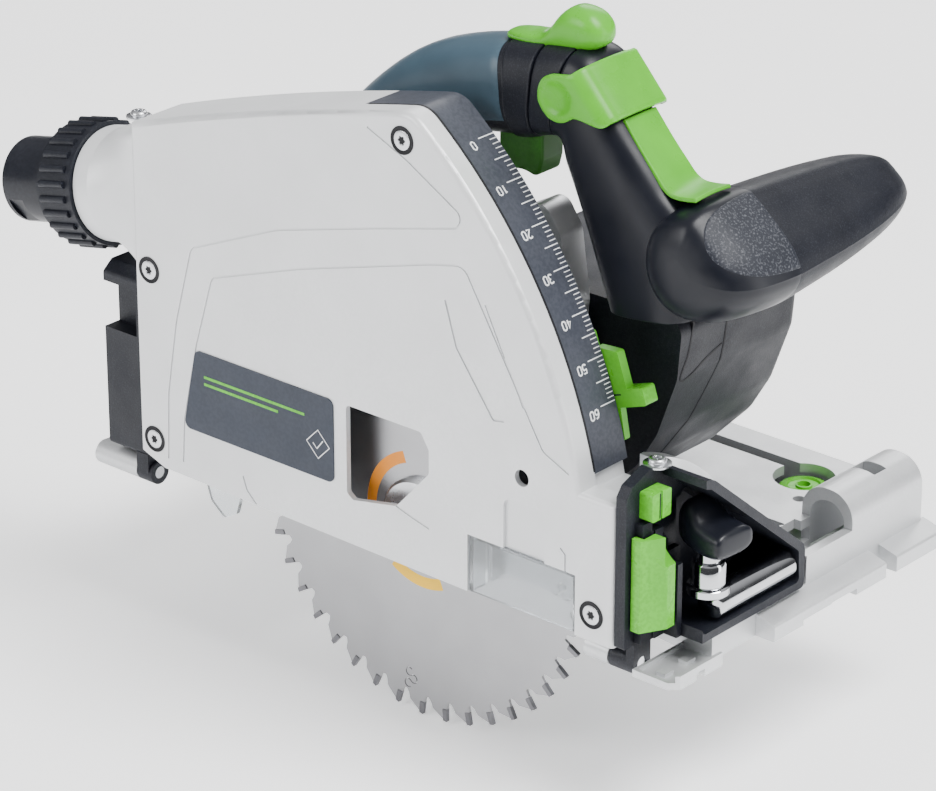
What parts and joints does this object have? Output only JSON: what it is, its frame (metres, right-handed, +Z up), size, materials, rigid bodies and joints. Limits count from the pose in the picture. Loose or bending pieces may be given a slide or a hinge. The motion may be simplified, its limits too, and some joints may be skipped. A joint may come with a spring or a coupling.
{
  "type": "track plunge saw",
  "caption": "Guide-rail plunge saw with a side blade guard, D-shaped handle, cross motor, depth scale, bevel hinge and dust spout.",
  "frame": {"origin": "point of the cut line on the sole plane, under the saw arbor when fully plunged", "axes": "+X is the cutting direction, +Y runs from the blade towards the motor, +Z is up; the sole rests on Z = 0"},
  "size_m": [0.3554, 0.1745, 0.2903],
  "materials": {
    "silver_paint": "satin",
    "cast_grey": "satin",
    "aluminium": "satin",
    "black_plastic": "matt",
    "grey_plastic": "satin",
    "green_plastic": "gloss",
    "clear_plastic": "gloss",
    "label": "satin",
    "chrome": "polished",
    "steel": "brushed",
    "carbide": "satin",
    "copper": "satin"
  },
  "bodies": {
    "base": {"base_plate": "cast_grey", "glide_strips": "black_plastic", "bevel_segments": "aluminium", "bevel_pins": "steel"},
    "rail_wheel_a": {"rail_wheel_front": "green_plastic"},
    "rail_wheel_b": {"rail_wheel_rear": "green_plastic"},
    "guard": {"outer_cover": "silver_paint", "guard_housing": "silver_paint", "depth_scale": "black_plastic", "nameplate": "label", "cover_screws": "steel", "sight_window": "clear_plastic", "front_carrier": "black_plastic", "rear_carrier": "black_plastic", "clamp_bolts": "steel", "front_clamp_rod": "chrome", "front_clamp_stud": "chrome", "cut_pointer": "green_plastic", "feeler_pin": "steel", "pivot_pin": "steel"},
    "front_clamp": {"front_clamp_knob": "black_plastic"},
    "rear_clamp": {"rear_clamp_knob": "black_plastic"},
    "splinter": {"splinter_guard": "green_plastic"},
    "stop": {"depth_stop": "green_plastic"},
    "feeler": {"kickback_feeler": "clear_plastic"},
    "spout": {"dust_collar": "black_plastic", "dust_spout": "black_plastic"},
    "saw_unit": {"gear_housing": "aluminium", "gearbox_flange": "aluminium", "ball_bearings": "steel", "idler_pin": "steel", "motor_housing": "black_plastic", "motor_end_cap": "black_plastic", "motor_stator": "steel", "motor_windings": "copper", "front_handle_left": "black_plastic", "front_handle_right": "black_plastic", "rear_handle_left": "grey_plastic", "rear_handle_right": "grey_plastic", "front_grip_inner": "black_plastic", "front_grip_outer": "black_plastic", "lever_pin": "steel", "column_inlay": "green_plastic", "electronics_module": "black_plastic", "power_inlet": "black_plastic"},
    "switch_trigger": {"trigger": "green_plastic"},
    "lock": {"lock_button": "green_plastic"},
    "lever": {"change_lever": "green_plastic"},
    "dial": {"speed_dial": "black_plastic"},
    "blade": {"saw_blade": "steel", "carbide_tips": "carbide", "inner_flange": "steel", "outer_flange": "steel", "arbor_screw": "steel", "spindle": "steel", "driven_gear": "steel"},
    "idler": {"idler_gear": "steel"},
    "rotor": {"rotor_shaft": "steel", "motor_rotor": "steel", "cooling_fan": "black_plastic"}
  },
  "joints": [
    {"name": "bevel_tilt", "type": "hinge", "parent": "base", "child": "guard", "pos_m": [0, 0, 0], "axis": [1, 0, 0], "range_deg": [0, 45]},
    {"name": "rail_wheel_front_turn", "type": "hinge", "parent": "base", "child": "rail_wheel_a", "pos_m": [0.084, 0.131, 0.014], "axis": [0, 0, 1], "range_deg": [-90, 90]},
    {"name": "rail_wheel_rear_turn", "type": "hinge", "parent": "base", "child": "rail_wheel_b", "pos_m": [-0.12, 0.131, 0.014], "axis": [0, 0, 1], "range_deg": [-90, 90]},
    {"name": "plunge", "type": "hinge", "parent": "guard", "child": "saw_unit", "pos_m": [-0.125, 0.025, 0.022], "axis": [0, -1, 0], "range_deg": [0, 28.8]},
    {"name": "blade_spin", "type": "hinge", "parent": "saw_unit", "child": "blade", "pos_m": [0, 0, 0.024], "axis": [0, 1, 0], "continuous": true},
    {"name": "idler_spin", "type": "hinge", "parent": "saw_unit", "child": "idler", "pos_m": [0.01834, 0.032, 0.05203], "axis": [0, 1, 0], "continuous": true},
    {"name": "rotor_spin", "type": "hinge", "parent": "saw_unit", "child": "rotor", "pos_m": [0.02984, 0.07, 0.0696], "axis": [0, 1, 0], "continuous": true},
    {"name": "front_clamp_turn", "type": "hinge", "parent": "guard", "child": "front_clamp", "pos_m": [0.121, 0.022, 0.05], "axis": [0, 0, 1], "range_deg": [0, 20]},
    {"name": "rear_clamp_turn", "type": "hinge", "parent": "guard", "child": "rear_clamp", "pos_m": [-0.174, 0.05638, 0.02052], "axis": [1, 0, 0], "range_deg": [0, 90]},
    {"name": "splinter_guard_slide", "type": "slide", "parent": "guard", "child": "splinter", "axis": [0, 0, 1], "range_m": [-0.012, 0.003]},
    {"name": "depth_set", "type": "hinge", "parent": "guard", "child": "stop", "pos_m": [-0.125, 0.019, 0.022], "axis": [0, -1, 0], "range_deg": [0, 28.8]},
    {"name": "feeler_swing", "type": "hinge", "parent": "guard", "child": "feeler", "pos_m": [-0.103, -0.0055, 0.016], "axis": [0, 1, 0], "range_deg": [-25, 25]},
    {"name": "spout_swivel", "type": "hinge", "parent": "guard", "child": "spout", "pos_m": [-0.16, 0.005, 0.12], "axis": [-0.9789, 0, -0.2045], "range_deg": [-90, 90]},
    {"name": "trigger_pull", "type": "slide", "parent": "saw_unit", "child": "switch_trigger", "axis": [0, 0, 1], "range_m": [0, 0.005], "stiffness_N_per_m": 600, "springref_m": -0.003},
    {"name": "lock_press", "type": "slide", "parent": "saw_unit", "child": "lock", "axis": [0, 0, 1], "range_m": [-0.002, 0], "stiffness_N_per_m": 600, "springref_m": 0.002},
    {"name": "lever_turn", "type": "hinge", "parent": "saw_unit", "child": "lever", "pos_m": [0.043, 0.042, 0.199], "axis": [0, 1, 0], "range_deg": [-12, 0]},
    {"name": "dial_turn", "type": "hinge", "parent": "saw_unit", "child": "dial", "pos_m": [-0.066, 0.06, 0.092], "axis": [0, 1, 0], "range_deg": [0, 270]}
  ],
  "couplings": [
    {"joint": "idler_spin", "follows": "blade_spin", "ratio": -1.0938},
    {"joint": "rotor_spin", "follows": "blade_spin", "ratio": 3.5}
  ]
}
